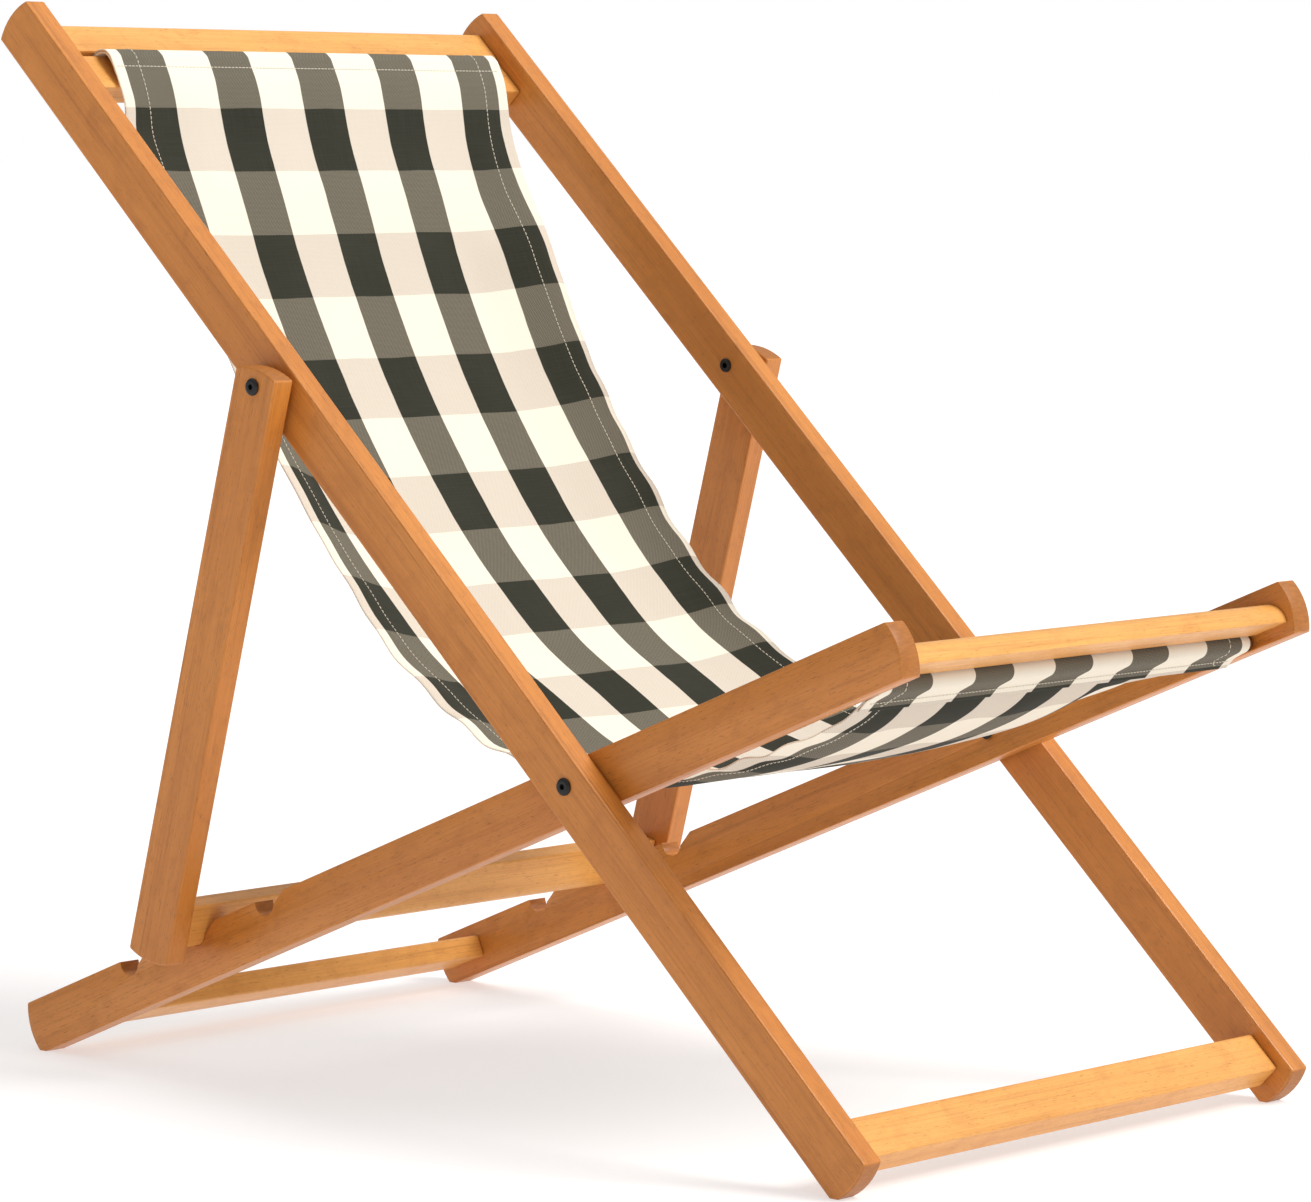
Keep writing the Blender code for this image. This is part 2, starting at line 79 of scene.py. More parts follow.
# ----------------------------------------------------------------- node tools
class Nodes:
    """A small builder for shader nodes."""

    def __init__(self, name):
        self.mat = bpy.data.materials.new(name)
        self.mat.use_nodes = True
        self.nt = self.mat.node_tree
        self.bsdf = next(n for n in self.nt.nodes if n.type == "BSDF_PRINCIPLED")
        self.bsdf.location = (900, 0)
        self.count = 0

    def add(self, kind, **values):
        n = self.nt.nodes.new(kind)
        n.location = (-1400 + 180 * (self.count % 12), 500 - 220 * (self.count // 12))
        self.count += 1
        for k, v in values.items():
            setattr(n, k, v)
        return n

    def put(self, socket, value):
        if isinstance(value, bpy.types.NodeSocket):
            self.nt.links.new(value, socket)
        else:
            socket.default_value = value

    def math(self, op, a, b=0.0, c=0.0, clamp=False):
        n = self.add("ShaderNodeMath", operation=op, use_clamp=clamp)
        for s, v in zip(n.inputs, (a, b, c)):
            self.put(s, v)
        return n.outputs[0]

    def vmath(self, op, a, b=None):
        n = self.add("ShaderNodeVectorMath", operation=op)
        self.put(n.inputs[0], a)
        if b is not None:
            self.put(n.inputs[1], b)
        return n.outputs["Value"] if op == "DOT_PRODUCT" else n.outputs["Vector"]

    def mix(self, f, a, b, kind="MIX"):
        n = self.add("ShaderNodeMix", data_type="RGBA", blend_type=kind)
        self.put(n.inputs[0], f)
        for s, v in ((n.inputs[6], a), (n.inputs[7], b)):
            self.put(s, (*v, 1) if isinstance(v, tuple) and len(v) == 3 else v)
        return n.outputs[2]

    def remap(self, x, a, b, c=0.0, d=1.0, smooth=False):
        n = self.add("ShaderNodeMapRange", interpolation_type="SMOOTHSTEP" if smooth else "LINEAR")
        for s, v in zip(n.inputs, (x, a, b, c, d)):
            self.put(s, v)
        return n.outputs[0]

    def noise(self, v, scale, detail=3.0, rough=0.5, distort=0.0):
        n = self.add("ShaderNodeTexNoise")
        self.put(n.inputs["Vector"], v)
        n.inputs["Scale"].default_value = scale
        n.inputs["Detail"].default_value = detail
        n.inputs["Roughness"].default_value = rough
        n.inputs["Distortion"].default_value = distort
        return n.outputs["Fac"]

    def xyz(self, v):
        n = self.add("ShaderNodeSeparateXYZ")
        self.put(n.inputs[0], v)
        return n.outputs

    def vec(self, x, y, z):
        n = self.add("ShaderNodeCombineXYZ")
        for s, v in zip(n.inputs, (x, y, z)):
            self.put(s, v)
        return n.outputs[0]

    def bump(self, height, distance, strength=1.0):
        n = self.add("ShaderNodeBump")
        self.put(n.inputs["Height"], height)
        n.inputs["Distance"].default_value = distance
        n.inputs["Strength"].default_value = strength
        self.nt.links.new(n.outputs[0], self.bsdf.inputs["Normal"])
        return n

    def base(self, **values):
        for k, v in values.items():
            self.put(self.bsdf.inputs[k.replace("_", " ")], v)


# ---------------------------------------------------------------------- wood
def wood(name, along, shift, dark, mid, light, coat=0.22):
    """Oiled hardwood. along is the grain direction; shift moves the grain so that no two pieces share it."""
    m = Nodes(name)
    d = Vector(along).normalized()
    side = d.orthogonal().normalized() if abs(d.x) > 0.5 else Vector((1, 0, 0))
    other = d.cross(side).normalized()
    tc = m.add("ShaderNodeTexCoord")
    p = tc.outputs["Object"]
    g = m.math("ADD", m.vmath("DOT_PRODUCT", p, tuple(d)), shift * 1.37)
    a = m.math("ADD", m.vmath("DOT_PRODUCT", p, tuple(side)), shift * 0.71)
    b = m.math("ADD", m.vmath("DOT_PRODUCT", p, tuple(other)), shift * 0.43)

    def stretched(x, y):
        return m.vec(m.math("MULTIPLY", g, x), m.math("MULTIPLY", a, y), m.math("MULTIPLY", b, y))

    broad = m.noise(stretched(2.6, 22.0), 1.0, 2.0, 0.5, 0.4)             # soft tone along the board
    streak = m.noise(stretched(3.0, 150.0), 1.0, 4.0, 0.62, 0.25)         # growth lines, 2 to 6 mm apart
    hair = m.noise(stretched(14.0, 900.0), 1.0, 3.0, 0.6, 0.0)            # fine fibres
    cell = m.noise(stretched(150.0, 1500.0), 1.0, 2.0, 0.5, 0.0)          # short pores
    mottle = m.noise(stretched(38.0, 60.0), 1.0, 3.0, 0.55, 0.6)          # cloudy stain take-up

    tone = m.mix(m.remap(broad, 0.32, 0.68), mid, light)
    tone = m.mix(m.math("MULTIPLY", m.remap(streak, 0.50, 0.78, smooth=True), 0.55), tone, dark)
    tone = m.mix(m.math("MULTIPLY", m.remap(hair, 0.44, 0.74), 0.34), tone, dark)
    tone = m.mix(m.math("MULTIPLY", m.remap(mottle, 0.46, 0.75, smooth=True), 0.26), tone, dark)
    pore = m.remap(cell, 0.615, 0.70, smooth=True)
    tone = m.mix(m.math("MULTIPLY", pore, 0.42), tone, tuple(c * 0.45 for c in dark))

    # end grain drinks more stain: darker, rougher, with a speckle instead of lines
    n = m.math("ABSOLUTE", m.vmath("DOT_PRODUCT", tc.outputs["Normal"], tuple(d)))
    end = m.remap(n, 0.72, 0.93, smooth=True)
    ring = m.noise(m.vec(m.math("MULTIPLY", a, 120.0), m.math("MULTIPLY", b, 420.0), 0.0), 1.0, 3.0, 0.55, 0.5)
    endtone = m.mix(m.remap(ring, 0.35, 0.7), tuple(c * 0.62 for c in mid), tuple(c * 0.80 for c in mid))
    tone = m.mix(end, tone, endtone)

    rough = m.math("ADD", 0.36, m.math("MULTIPLY", m.remap(hair, 0.3, 0.75), 0.13))
    rough = m.math("ADD", rough, m.math("MULTIPLY", mottle, 0.10))
    rough = m.math("ADD", rough, m.math("MULTIPLY", end, 0.14), clamp=True)
    height = m.math("SUBTRACT", m.math("MULTIPLY", hair, 0.55), m.math("MULTIPLY", pore, 0.9))
    height = m.math("ADD", height, m.math("MULTIPLY", streak, 0.8))
    m.base(Base_Color=tone, Roughness=rough, Coat_Weight=coat, Coat_Roughness=0.26)
    m.bsdf.inputs["Specular IOR Level"].default_value = 0.42
    m.bump(height, 0.00016, 0.55)
    return m.mat


BACK_DIR = (0, math.cos(BACK), math.sin(BACK))
SEAT_DIR = (0, -math.cos(SEAT), math.sin(SEAT))
PROP_DIR = (0, 0.2367, -0.9716)
ACROSS = (1, 0, 0)
RAIL = ((0.33, 0.098, 0.010), (0.56, 0.190, 0.024), (0.68, 0.255, 0.045))
BAR = ((0.50, 0.185, 0.032), (0.76, 0.335, 0.072), (0.86, 0.430, 0.110))
# the rods' wood is given the near-black of the deep shade it sits in between sleeve and rail: painted shade, not a
# darker wood
ROD_PAINTED_SHADE = ((0.10, 0.035, 0.012), (0.17, 0.062, 0.020), (0.22, 0.085, 0.030))
grain = {
    "back_rail_left": (BACK_DIR, RAIL), "back_rail_right": (BACK_DIR, RAIL),
    "seat_rail_left": (SEAT_DIR, RAIL), "seat_rail_right": (SEAT_DIR, RAIL),
    "prop_leg_left": (PROP_DIR, RAIL), "prop_leg_right": (PROP_DIR, RAIL),
    "back_top_rail": (ACROSS, BAR), "back_sling_slat": (ACROSS, BAR), "back_foot_rail": (ACROSS, BAR),
    "seat_front_rail": (ACROSS, BAR), "seat_foot_rail": (ACROSS, BAR), "prop_crossbar": (ACROSS, BAR),
    "sling_rod_top": (ACROSS, ROD_PAINTED_SHADE), "sling_rod_front": (ACROSS, ROD_PAINTED_SHADE),
}


def dress(node, material):
    data = nodes[node].data
    data.materials.clear()
    data.materials.append(material)


for i, (node, (way, tones)) in enumerate(grain.items()):
    dress(node, wood("wood_" + node, way, 0.37 * (i + 1), *tones))


# ------------------------------------------------------------------ hardware
def steel():
    m = Nodes("black_steel")
    tc = m.add("ShaderNodeTexCoord")
    p = tc.outputs["Object"]
    n1 = m.noise(p, 900.0, 3.0, 0.6)
    n2 = m.noise(p, 160.0, 2.0, 0.5)
    tone = m.mix(n2, (0.012, 0.012, 0.013), (0.028, 0.027, 0.027))
    wear = m.remap(n1, 0.68, 0.80)
    tone = m.mix(m.math("MULTIPLY", wear, 0.4), tone, (0.09, 0.085, 0.08))
    rough = m.math("ADD", 0.30, m.math("MULTIPLY", n1, 0.16))
    m.base(Base_Color=tone, Roughness=rough, Metallic=0.55)
    m.bump(n1, 0.00004, 0.6)
    return m.mat


STEEL = steel()
for name in nodes:
    if "bolt" in name or "nut" in name or "spacer" in name:
        dress(name, STEEL)

# ---------------------------------------------------------- the sling's shape
# The cloth is followed in the side view, in millimetres, from its upper end
# behind the slot to its end under the front rod.
CLOTH_T = 0.72                  # thickness
HEM_GAP = 0.78                  # from the cloth to the hem folded under it
HALF = 221.5                    # half width once hemmed
HEM = 30.0                      # width of the hem
LAYER = 2.4                     # between the two layers of a sleeve's seam
SHIFT_TOP = 8.8                 # the sling hangs a little to the right
R_TOP, R_FRONT = 6.3, 7.3       # of the cloth round each rod


def back(s, n):
    """(y, z) of a point given along the back rail and in front of it, from the main pivot."""
    return PIV + np.array([s * math.cos(BACK) - n * math.sin(BACK), s * math.sin(BACK) + n * math.cos(BACK)])


def rel(y, z):
    """(y, z) from y measured from the main pivot and z from the floor."""
    return np.array([PIV[0] + y, z])


def curve(points, step=0.5):
    """A smooth curve through the points (natural cubic over chord length), sampled every step."""
    p = np.array(points, float)
    t = np.r_[0, np.cumsum(np.sqrt(np.linalg.norm(np.diff(p, axis=0), axis=1)))]
    n = len(t)
    h = np.diff(t)
    a = np.zeros((n, n))
    r = np.zeros((n, 2))
    a[0, 0] = a[-1, -1] = 1
    for i in range(1, n - 1):
        a[i, i - 1:i + 2] = h[i - 1], 2 * (h[i - 1] + h[i]), h[i]
        r[i] = 6 * ((p[i + 1] - p[i]) / h[i] - (p[i] - p[i - 1]) / h[i - 1])
    m = np.linalg.solve(a, r)
    out = []
    for i in range(n - 1):
        k = max(2, int(np.linalg.norm(p[i + 1] - p[i]) / step))
        x = np.linspace(0, h[i], k, endpoint=False)[:, None]
        out.append((m[i] * (h[i] - x) ** 3 + m[i + 1] * x ** 3) / (6 * h[i])
                   + (p[i] / h[i] - m[i] * h[i] / 6) * (h[i] - x) + (p[i + 1] / h[i] - m[i + 1] * h[i] / 6) * x)
    out.append(p[-1:])
    return np.vstack(out)


def arc(c, r, a0, a1, step=0.5):
    k = max(3, int(abs(math.radians(a1 - a0)) * r / step))
    t = np.radians(np.linspace(a0, a1, k))
    return np.stack([c[0] + r * np.cos(t), c[1] + r * np.sin(t)], -1)


def even(p, step):
    s = np.r_[0, np.cumsum(np.linalg.norm(np.diff(p, axis=0), axis=1))]
    q = np.linspace(0, s[-1], max(2, int(round(s[-1] / step)) + 1))
    return np.stack([np.interp(q, s, p[:, 0]), np.interp(q, s, p[:, 1])], -1)


def softened(p, sigma, step):
    """Rounds the corners of an evenly spaced line; its ends stay."""
    k = int(4 * sigma / step)
    w = np.exp(-0.5 * (np.arange(-k, k + 1) * step / sigma) ** 2)
    w /= w.sum()
    q = np.vstack([2 * p[0] - p[k:0:-1], p, 2 * p[-1] - p[-2:-k - 2:-1]])
    return np.stack([np.convolve(q[:, 0], w, "valid"), np.convolve(q[:, 1], w, "valid")], -1)


# upper sleeve: end under the main cloth, up through the slot, round the rod,
# back out of the slot
rod_s = float((ROD_T - PIV) @ [math.cos(BACK), math.sin(BACK)])
rod_n = float((ROD_T - PIV) @ [-math.sin(BACK), math.cos(BACK)])
loop = arc((rod_s, rod_n), R_TOP, 105, 435)
upper = [(719.5, 7.4), (727.0, 10.3), (733.0, 11.6), (739.0, 11.3), (743.3, 7.6), (745.2, 3.4), (745.2, rod_n + 7.7),
         *loop, (747.6, rod_n + 7.7), (747.6, 3.4), (746.2, 8.0), (741.0, 13.4), (734.0, 14.2), (722.5, 10.6)]
upper = np.array([back(s, n) for s, n in upper])
# down to the front sleeve's seam
BELLY = [(512, 753), (497, 714), (480, 677), (456, 617), (432, 567), (406, 520), (377, 476), (345, 432), (313, 394),
         (277, 359), (239, 327), (187, 297), (134, 268), (78, 251), (18, 249.5), (-41, 260), (-88, 270), (-132, 282.5),
         (-170, 297), (-197, 311), (-216, 323.5)]
seam_way = math.radians(-50)
SEAM = ROD_F + 13.8 * np.array([math.cos(seam_way), math.sin(seam_way)])
down = curve([upper[-1], *[rel(y, z) for y, z in BELLY], SEAM])
# round the front rod and back under it
spread = math.degrees(math.acos(R_FRONT / 13.8))
ring = arc(ROD_F, R_FRONT, -50 + spread, -50 + 360 - spread)
way = (down[-1] - down[-30]) / np.linalg.norm(down[-1] - down[-30])
under = np.array([way[1], -way[0]])                # the face side of the cloth at the seam
low = SEAM - under * LAYER
tail = np.array([low + way * 0.8, low - way * 2.0, low - way * 10.0])
raw = even(np.vstack([upper[:-1], down, ring, tail]), 0.4)
path = softened(raw, 1.0, 0.4)
arc_s = np.r_[0, np.cumsum(np.linalg.norm(np.diff(path, axis=0), axis=1))]
LENGTH = float(arc_s[-1])
SLOT_S = float(arc_s[np.argmin(np.linalg.norm(path - back(747.6, 3.2), axis=1))])
SEAM_S = float(arc_s[np.argmin(np.linalg.norm(path[: len(path) - 60] - SEAM, axis=1))])

# stations along the cloth: close together round the rods, wider in the belly
stations = [0.0]
while stations[-1] < LENGTH:
    s = stations[-1]
    near = min(abs(s - (SLOT_S + 25)) - 0 if s > SLOT_S + 25 else 0, SEAM_S - 18 - s if s < SEAM_S - 18 else 0)
    stations.append(s + float(np.clip(1.1 + max(0.0, near) * 0.07, 1.1, 5.5)))
stations = np.array(stations)
stations *= LENGTH / stations[-1]
V = stations - SLOT_S                              # along the cloth from the slot
line = np.stack([np.interp(stations, arc_s, path[:, 0]), np.interp(stations, arc_s, path[:, 1])], -1)
tangent = np.gradient(path, arc_s, axis=0)
tangent = np.stack([np.interp(stations, arc_s, tangent[:, 0]), np.interp(stations, arc_s, tangent[:, 1])], -1)
tangent /= np.linalg.norm(tangent, axis=1)[:, None]
facing = np.stack([tangent[:, 1], -tangent[:, 0]], -1)


def ramp(x, a, b):
    t = np.clip((x - a) / (b - a), 0, 1)
    return t * t * (3 - 2 * t)


# across the cloth: flat width u against where it hangs (x) and how far its
# edges curl towards the sitter (e)
U_KNOTS = np.array([0, 71.6, 117.1, 165.9, 211.4, HALF])
V_KNOTS = np.array([0, 60, 130, 195, 310, 425, 530, 620, 720, 820, 918, 1008, 1043, 1068.0])
CURL = {  # how far each line stands towards the sitter, from the slot to the front rod
    "left": np.array([[0] * 14, [0] * 14,
                      [0, 0, 0, 0, 0, 0, 0, 0, 0, 0, 0, 0, 0, 0],
                      [0, 0, 1, 3, 5, 9, 8, 2, 0, 0, 0, 0, 0, 0],
                      [0, 0, 5, 18, 27, 26, 20, 11, 10, 9, 8, 5, 2, 0],
                      [0, 0, 6, 20, 29, 28, 22, 12, 11, 10, 9, 6, 2, 0]], float),
    "right": np.array([[0] * 14,
                       [0, 0, 0, 0, 0, 0, 0, 0, 0, 1, 4, 4.5, 4, 0],
                       [0, 0, 0, -1, -1, 0, 0.5, 1, 2, 6, 14, 13, 6, 0],
                       [0, 0, 0, 8, 4.5, 6.5, 5, 6, 8, 13, 21, 18, 8, 0],
                       [0, 1, 6, 17, 17, 15, 12, 12, 15, 22, 30, 24, 10, 0],
                       [0, 2, 7, 15, 14, 12, 10, 10, 14, 22, 31, 25, 10.5, 0]], float)}


def smooth_knots(u, knots, values):
    """Monotone cubic through the knots."""
    h = np.diff(knots)
    d = np.diff(values) / h
    m = np.r_[d[0], np.where(d[1:] * d[:-1] > 0, 2 * d[1:] * d[:-1] / (d[1:] + d[:-1] + 1e-12), 0), d[-1]]
    i = np.clip(np.searchsorted(knots, u, "right") - 1, 0, len(h) - 1)
    t = (u - knots[i]) / h[i]
    return ((2 * t ** 3 - 3 * t ** 2 + 1) * values[i] + (t ** 3 - 2 * t ** 2 + t) * h[i] * m[i]
            + (-2 * t ** 3 + 3 * t ** 2) * values[i + 1] + (t ** 3 - t ** 2) * h[i] * m[i + 1])


inner = np.linspace(0, 186, 28)
outer = np.linspace(189, HALF, 12)
u_half = np.r_[inner, outer]
U_MAIN = np.r_[-u_half[:0:-1], u_half]
end_v = float(stations[-1] - SLOT_S)
front_v = SEAM_S - SLOT_S


def curl(side, u, v):
    """Height of the curl at flat (u, v), both one-dimensional: a grid of len(v) by len(u)."""
    scaled = V_KNOTS * front_v / V_KNOTS[-1]
    along = np.stack([smooth_knots(np.clip(v, 0, front_v), scaled, row) for row in CURL[side]])
    return np.stack([smooth_knots(np.abs(u), U_KNOTS, along[:, k]) for k in range(len(v))])


def shape(u, v):
    """(x, e) in mm for flat positions: u across and v along, a grid of len(v) by len(u)."""
    e = np.where(u[None, :] < 0, curl("left", u, v), curl("right", u, v))
    u, v = np.broadcast_arrays(u[None, :], v[:, None])
    au, left = np.abs(u), u < 0
    narrow = np.where(left, ramp(v, 150, 480), ramp(v, 20, 120)) * (1 - ramp(v, front_v - 200, front_v - 10))
    x = u * (1 - 0.045 * narrow)
    x = x + SHIFT_TOP * (1 - ramp(v, 10, 130))
    # the hems ripple, because the stitching has drawn them in
    rim = ramp(au, 178, HALF) * ramp(v, 30, 90) * (1 - ramp(v, front_v - 60, front_v - 18))
    side = np.where(left, 0.0, 2.1)
    phase = 2 * np.pi * v / 54.0 + side + 1.3 * np.sin(v / 83.0 + side) + 0.6 * np.sin(v / 37.0 + 2 * side)
    swell = (0.55 + 0.45 * np.sin(v / 121.0 + 1.3 + side)) * np.where(left, 1.25, 0.85)
    e = e + rim * 2.0 * swell * np.sin(phase)
    x = x + np.sign(u) * ramp(au, 140, 200) * ramp(v, 30, 90) * (1 - ramp(v, front_v - 60, front_v - 18)) * 1.5 * swell * np.sin(phase * 0.5 + 0.9)
    # slack billows in the body of the cloth
    body = ramp(v, 30, 220) * (1 - ramp(v, front_v - 220, front_v - 40))
    e = e + body * (0.8 * np.sin(u / 61.0 + v / 173.0) * np.sin(v / 97.0 + 0.6)
                    + 0.5 * np.sin(u / 33.0 - v / 88.0 + 1.0) + 0.35 * np.sin(u / 19.0 + v / 55.0))
    # a few short tension folds running down from the slot and up from the front rod
    pull = ramp(v, 30, 55) * (1 - ramp(v, 70, 190)) + ramp(v, front_v - 170, front_v - 70) * (1 - ramp(v, front_v - 40, front_v - 14))
    e = e + pull * (0.5 * np.sin(u / 13.0 + 0.7 * np.sin(v / 60.0)) + 0.25 * np.sin(u / 7.7 + 1.1))
    return x, e


def place(u, v_index):
    """Points (mm) for flat widths u at each station."""
    x, e = shape(u, V[v_index])
    yz = line[v_index][:, None, :] + facing[v_index][:, None, :] * e[..., None]
    return np.concatenate([x[..., None], yz], -1)


every = np.arange(len(stations))
main = place(U_MAIN, every)
du = np.gradient(main, axis=1)
dv = np.gradient(main, axis=0)
normal = np.cross(du, dv)
normal /= np.linalg.norm(normal, axis=2)[..., None]
if (normal[..., 1:] * facing[:, None, :]).sum(-1).mean() < 0:
    normal = -normal

# fold and hem on each side, joined on to the main cloth
rows, flat_u = [], []
hem_u = np.linspace(HALF - 0.4, HALF - HEM, 9)


def hem(side):
    """The folded-under part on one side, from the fold inwards."""
    edge = main[:, -1 if side > 0 else 0]
    n = normal[:, -1 if side > 0 else 0]
    out = edge - main[:, -2 if side > 0 else 1]
    out /= np.linalg.norm(out, axis=1)[:, None]
    r = HEM_GAP / 2
    pts, us = [], []
    for a in (45, 90, 135):
        t = math.radians(a)
        pts.append(edge + n * (r * math.cos(t) - r) + out * (r * math.sin(t)))
        us.append(HALF + r * t)
    for u in hem_u:
        k = np.interp(side * u, U_MAIN, np.arange(len(U_MAIN)))
        i, f = int(k), k - int(k)
        j = min(i + 1, len(U_MAIN) - 1)
        p = main[:, i] * (1 - f) + main[:, j] * f
        m = normal[:, i] * (1 - f) + normal[:, j] * f
        pts.append(p - m * HEM_GAP)
        us.append(HALF + r * math.pi + (HALF - 0.4 - u))
    return pts, [side * u for u in us]


lp, lu = hem(-1)
rp, ru = hem(1)
grid = np.concatenate([np.stack(lp[::-1], 1), main, np.stack(rp, 1)], axis=1) * MM
flat_u = np.r_[lu[::-1], U_MAIN, ru]
nv, nu = grid.shape[:2]


def grid_mesh(name, pts, fu, fv):
    n, k = pts.shape[:2]
    me = bpy.data.meshes.new(name)
    i, j = np.meshgrid(np.arange(n - 1), np.arange(k - 1), indexing="ij")
    a = i * k + j
    quads = np.stack([a, a + 1, a + k + 1, a + k], -1).reshape(-1, 4)
    me.from_pydata(pts.reshape(-1, 3).tolist(), [], quads.tolist())
    uv = me.uv_layers.new(name="flat")
    uu, vv = np.meshgrid(fu * MM, fv * MM)
    flat = np.stack([uu.reshape(-1), vv.reshape(-1)], -1)
    uv.data.foreach_set("uv", flat[quads.reshape(-1)].astype(np.float32).ravel())
    me.polygons.foreach_set("use_smooth", [True] * len(me.polygons))
    me.update()
    ob = bpy.data.objects.new(name, me)
    bpy.context.scene.collection.objects.link(ob)
    return ob


sling = grid_mesh("sling_cloth", grid, flat_u, V)
mod = sling.modifiers.new("thickness", "SOLIDIFY")
mod.thickness = CLOTH_T * MM
mod.offset = 0.0
mod.use_even_offset = True
mod.use_quality_normals = True


# ----------------------------------------------------------------- stitching
def surface(u, v):
    """Point and normal (mm) on the main cloth at flat (u, v)."""
    ku = np.clip(np.interp(u, U_MAIN, np.arange(len(U_MAIN))), 0, len(U_MAIN) - 1.001)
    kv = np.clip(np.interp(v, V, np.arange(len(V))), 0, len(V) - 1.001)
    i, j = kv.astype(int), ku.astype(int)
    f, g = (kv - i)[:, None], (ku - j)[:, None]

    def lerp(a):
        return (a[i, j] * (1 - f) * (1 - g) + a[i + 1, j] * f * (1 - g) + a[i, j + 1] * (1 - f) * g + a[i + 1, j + 1] * f * g)

    n = lerp(normal)
    return lerp(main), n / np.linalg.norm(n, axis=1)[:, None]


stitch_v, stitch_f = [], []


def stitches(uv_line, lift, pitch=3.9, length=3.15, radius=0.42):
    """Thread lying on the cloth along a line of flat (u, v) points; lift is from the cloth's middle."""
    p = np.array(uv_line, float)
    s = np.r_[0, np.cumsum(np.linalg.norm(np.diff(p, axis=0), axis=1))]
    starts = np.arange(0.4, s[-1] - length, pitch)
    t = np.stack([starts + length * k for k in (0, 0.22, 0.5, 0.78, 1)], 1)
    u = np.interp(t, s, p[:, 0])
    v = np.interp(t, s, p[:, 1])
    q, n = surface(u.ravel(), v.ravel())
    q = q.reshape(*t.shape, 3)
    n = n.reshape(*t.shape, 3)
    sign = 1 if lift > 0 else -1
    rise = np.array([-0.30, 0.02, 0.12, 0.02, -0.30]) * sign
    q = q + n * (lift + rise)[None, :, None]
    along = q[:, -1] - q[:, 0]
    along /= np.linalg.norm(along, axis=1)[:, None]
    across = np.cross(along, n[:, 2])
    size = radius * np.array([0.45, 0.95, 1.0, 0.95, 0.45])
    sides = 6
    for k in range(len(starts)):
        base = len(stitch_v)
        for r in range(5):
            for a in range(sides):
                w = 2 * math.pi * a / sides
                stitch_v.append(q[k, r] + size[r] * (math.cos(w) * across[k] + 0.8 * math.sin(w) * n[k, 2]))
        for r in range(4):
            for a in range(sides):
                b = (a + 1) % sides
                stitch_f.append((base + r * sides + a, base + r * sides + b, base + (r + 1) * sides + b, base + (r + 1) * sides + a))
        stitch_f.append(tuple(base + a for a in range(sides))[::-1])
        stitch_f.append(tuple(base + 4 * sides + a for a in range(sides)))


TOP = CLOTH_T / 2 + 0.20
DEEP = -(HEM_GAP + CLOTH_T / 2 + 0.20)
v_lo, v_hi = float(V[0]) + 1.5, float(V[-1]) - 1.5
for side in (-1, 1):
    hook = [(side * (195 + 7.5 * (1 - math.cos(a))), v_hi - 11 + 7.5 * math.sin(a)) for a in np.linspace(0, math.pi * 0.62, 9)]
    stitches([(side * 195, v_lo), *[(side * (195 + 0.5 * math.sin(v / 41.0)), v) for v in np.arange(v_lo + 6, v_hi - 14, 6)],
              *hook], TOP)
    stitches([(side * 195, 40.0), (side * 195, front_v - 8)], DEEP)
SEW_V = 29.0
stitches([(-219.5, SEW_V), (219.5, SEW_V)], TOP)
stitches([(-218, front_v - 1.0), (218, front_v - 1.0)], TOP)
stitches([(-218, v_hi - 7.0), (218, v_hi - 7.0)], TOP)
stitches([(-218, v_lo + 6.5), (218, v_lo + 6.5)], TOP)
me = bpy.data.meshes.new("sling_stitching")
me.from_pydata((np.array(stitch_v) * MM).tolist(), [], stitch_f)
me.polygons.foreach_set("use_smooth", [True] * len(me.polygons))
me.update()
seams = bpy.data.objects.new("sling_stitching", me)
bpy.context.scene.collection.objects.link(seams)


